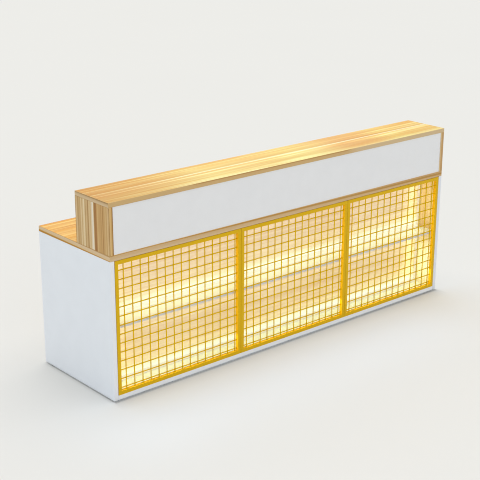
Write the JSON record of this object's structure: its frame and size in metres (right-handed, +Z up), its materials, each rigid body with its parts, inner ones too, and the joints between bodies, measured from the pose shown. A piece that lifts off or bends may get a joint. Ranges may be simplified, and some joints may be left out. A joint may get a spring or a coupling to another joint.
{
  "type": "reception desk",
  "caption": "Long reception desk with a raised timber shelf, white ends, a lit display recess behind yellow welded mesh panels, and drawers, kneehole and cupboard for staff.",
  "frame": {"origin": "on the floor, under the middle of the desk's bounding box", "axes": "+X along the desk, +Y from the public front to the staff edge, +Z up"},
  "size_m": [2.48, 0.65, 1.05],
  "materials": {
    "timber": "satin striped laminate",
    "white_board": "white melamine",
    "pale_timber": "pale timber laminate",
    "yellow_steel": "powder coated",
    "channel": "anodised",
    "tape": "flexible circuit",
    "opal": "opal",
    "drawer_board": "grey melamine",
    "runner_steel": "zinc plated",
    "handle_steel": "satin",
    "hinge_steel": "satin",
    "nylon": "moulded",
    "grey_plastic": "moulded",
    "driver_case": "moulded"
  },
  "bodies": {
    "desk": {"left_end_panel": "white_board", "right_end_panel": "white_board", "display_floor": "white_board", "glides": "nylon", "worktop": "timber", "cable_grommet": "grey_plastic", "hutch_left_end": "timber", "hutch_right_end": "timber", "hutch_top": "timber", "hutch_fascia": "white_board", "hutch_left_divider": "white_board", "hutch_right_divider": "white_board", "display_back": "pale_timber", "display_shelf": "white_board", "led_channels": "channel", "led_tapes": "tape", "led_diffusers": "opal", "led_driver": "driver_case", "left_partition": "white_board", "right_partition": "white_board", "drawer_bay_floor": "white_board", "cupboard_floor": "white_board", "outer_runners": "runner_steel", "carcass_hinge_leaves": "hinge_steel", "cupboard_shelf": "white_board", "shelf_supports": "hinge_steel", "mesh_frame_left": "yellow_steel", "mesh_wires_left": "yellow_steel", "mesh_frame_middle": "yellow_steel", "mesh_wires_middle": "yellow_steel", "mesh_frame_right": "yellow_steel", "mesh_wires_right": "yellow_steel"},
    "upper_drawer": {"upper_drawer_front": "white_board", "upper_drawer_sides": "drawer_board", "upper_drawer_back": "drawer_board", "upper_drawer_floor": "drawer_board", "upper_drawer_handle": "handle_steel", "upper_drawer_inner_runners": "runner_steel"},
    "upper_drawer_slides": {"upper_drawer_middle_runners": "runner_steel"},
    "middle_drawer": {"middle_drawer_front": "white_board", "middle_drawer_sides": "drawer_board", "middle_drawer_back": "drawer_board", "middle_drawer_floor": "drawer_board", "middle_drawer_handle": "handle_steel", "middle_drawer_inner_runners": "runner_steel"},
    "middle_drawer_slides": {"middle_drawer_middle_runners": "runner_steel"},
    "lower_drawer": {"lower_drawer_front": "white_board", "lower_drawer_sides": "drawer_board", "lower_drawer_back": "drawer_board", "lower_drawer_floor": "drawer_board", "lower_drawer_handle": "handle_steel", "lower_drawer_inner_runners": "runner_steel"},
    "lower_drawer_slides": {"lower_drawer_middle_runners": "runner_steel"},
    "left_door": {"left_door": "white_board", "left_door_handle": "handle_steel", "left_door_hinge_leaves": "hinge_steel"},
    "right_door": {"right_door": "white_board", "right_door_handle": "handle_steel", "right_door_hinge_leaves": "hinge_steel"}
  },
  "joints": [
    {"name": "upper_drawer_pull", "type": "slide", "parent": "desk", "child": "upper_drawer", "axis": [0, 1, 0], "range_m": [0, 0.38]},
    {"name": "upper_runner_travel", "type": "slide", "parent": "desk", "child": "upper_drawer_slides", "axis": [0, 1, 0], "range_m": [0, 0.19]},
    {"name": "middle_drawer_pull", "type": "slide", "parent": "desk", "child": "middle_drawer", "axis": [0, 1, 0], "range_m": [0, 0.38]},
    {"name": "middle_runner_travel", "type": "slide", "parent": "desk", "child": "middle_drawer_slides", "axis": [0, 1, 0], "range_m": [0, 0.19]},
    {"name": "lower_drawer_pull", "type": "slide", "parent": "desk", "child": "lower_drawer", "axis": [0, 1, 0], "range_m": [0, 0.38]},
    {"name": "lower_runner_travel", "type": "slide", "parent": "desk", "child": "lower_drawer_slides", "axis": [0, 1, 0], "range_m": [0, 0.19]},
    {"name": "left_door_swing", "type": "hinge", "parent": "desk", "child": "left_door", "pos_m": [0.419, 0.299, 0.3895], "axis": [0, 0, 1], "range_deg": [0, 180]},
    {"name": "right_door_swing", "type": "hinge", "parent": "desk", "child": "right_door", "pos_m": [1.211, 0.299, 0.3895], "axis": [0, 0, -1], "range_deg": [0, 100]}
  ],
  "couplings": [
    {"joint": "upper_runner_travel", "follows": "upper_drawer_pull", "ratio": 0.5},
    {"joint": "middle_runner_travel", "follows": "middle_drawer_pull", "ratio": 0.5},
    {"joint": "lower_runner_travel", "follows": "lower_drawer_pull", "ratio": 0.5}
  ]
}
